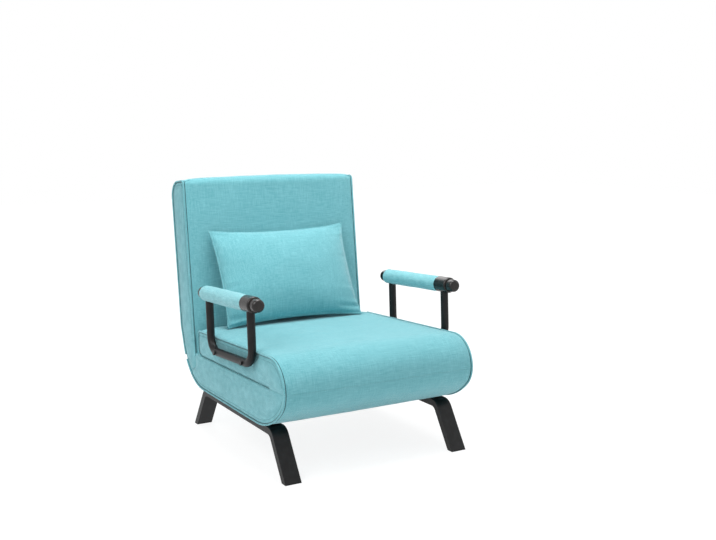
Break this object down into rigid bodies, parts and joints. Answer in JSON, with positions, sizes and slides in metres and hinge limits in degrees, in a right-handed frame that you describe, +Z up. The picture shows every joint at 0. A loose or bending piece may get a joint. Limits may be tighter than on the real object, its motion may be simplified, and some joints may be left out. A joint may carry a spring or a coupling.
{
  "type": "convertible chair bed",
  "caption": "Upholstered armchair that unfolds into a single bed: fold-out seat layer, reclining back, padded arms that become legs, loose pillow.",
  "frame": {"origin": "middle of the chair's footprint on the floor", "axes": "+Z up, the sitter faces -Y and has +X on the left hand; node names say left and right as the sitter does"},
  "size_m": [0.706, 0.8354, 0.8003],
  "materials": {
    "upholstery_fabric": "plain woven linen-look polyester, teal",
    "piping_fabric": "the same woven fabric sewn round a cord",
    "elastic_webbing": "black elastic webbing straps",
    "dust_cover_fabric": "black non-woven lining",
    "black_powder_coat": "satin black powder coated steel tube",
    "black_bolt_steel": "black oxide steel bolts",
    "zinc_plated_steel": "bright zinc plated pressed steel",
    "moulded_plastic": "black injection moulded plastic",
    "foot_rubber": "black rubber"
  },
  "bodies": {
    "seat": {"arm_bolts": "black_bolt_steel", "arm_caps_left": "moulded_plastic", "arm_caps_right": "moulded_plastic", "arm_core_left": "black_powder_coat", "arm_core_right": "black_powder_coat", "arm_pad_left": "upholstery_fabric", "arm_pad_right": "upholstery_fabric", "arm_spacers": "zinc_plated_steel", "arm_tube_left": "black_powder_coat", "arm_tube_right": "black_powder_coat", "fold_hinge_arms": "zinc_plated_steel", "seat_frame": "black_powder_coat", "seat_pad": "upholstery_fabric", "seat_piping": "piping_fabric", "seat_sleep_pad": "upholstery_fabric", "seat_webbing": "elastic_webbing"},
    "back": {"back_frame": "black_powder_coat", "back_pad": "upholstery_fabric", "back_piping": "piping_fabric", "back_rear_panel": "upholstery_fabric", "back_webbing": "elastic_webbing", "rear_leg_bracket_bolts": "black_bolt_steel", "rear_leg_brackets": "black_powder_coat", "rear_leg_pins": "zinc_plated_steel", "recliner_sectors": "zinc_plated_steel"},
    "base": {"base_dust_cover": "dust_cover_fabric", "base_frame": "black_powder_coat", "base_pad": "upholstery_fabric", "base_piping": "piping_fabric", "base_webbing": "elastic_webbing", "cross_rails": "black_powder_coat", "fold_hinge_pins": "zinc_plated_steel", "fold_hinge_plates": "zinc_plated_steel", "fold_hinge_sleeves": "zinc_plated_steel", "foot_plugs": "foot_rubber", "front_roll_cover": "upholstery_fabric", "front_roll_piping": "piping_fabric", "leg_frame_left": "black_powder_coat", "leg_frame_right": "black_powder_coat", "rail_bolts": "black_bolt_steel", "rear_bend_cover": "upholstery_fabric", "recliner_pawls": "zinc_plated_steel", "recliner_pins": "zinc_plated_steel", "recliner_plates": "zinc_plated_steel"},
    "pillow": {"pillow": "upholstery_fabric", "pillow_piping": "piping_fabric"},
    "rear_leg": {"rear_leg_feet": "foot_rubber", "rear_leg_tube": "black_powder_coat"}
  },
  "joints": [
    {"name": "seat_unfold", "type": "hinge", "parent": "base", "child": "seat", "pos_m": [0, -0.40668, 0.258], "axis": [1, 0, 0], "range_deg": [0, 183.2], "deforming": ["front_roll_cover", "front_roll_piping", "pillow", "pillow_piping"]},
    {"name": "back_recline", "type": "hinge", "parent": "base", "child": "back", "pos_m": [0, 0.26132, 0.214], "axis": [-1, 0, 0], "range_deg": [0, 83], "deforming": ["rear_bend_cover"]},
    {"name": "rear_leg_fold", "type": "hinge", "parent": "back", "child": "rear_leg", "pos_m": [0, 0.40603, 0.62946], "axis": [1, 0, 0], "range_deg": [0, 90]},
    {"name": "pillow_slide", "type": "slide", "parent": "back", "child": "pillow", "axis": [0, 0.1219, 0.9925], "range_m": [0, 0.2]}
  ]
}
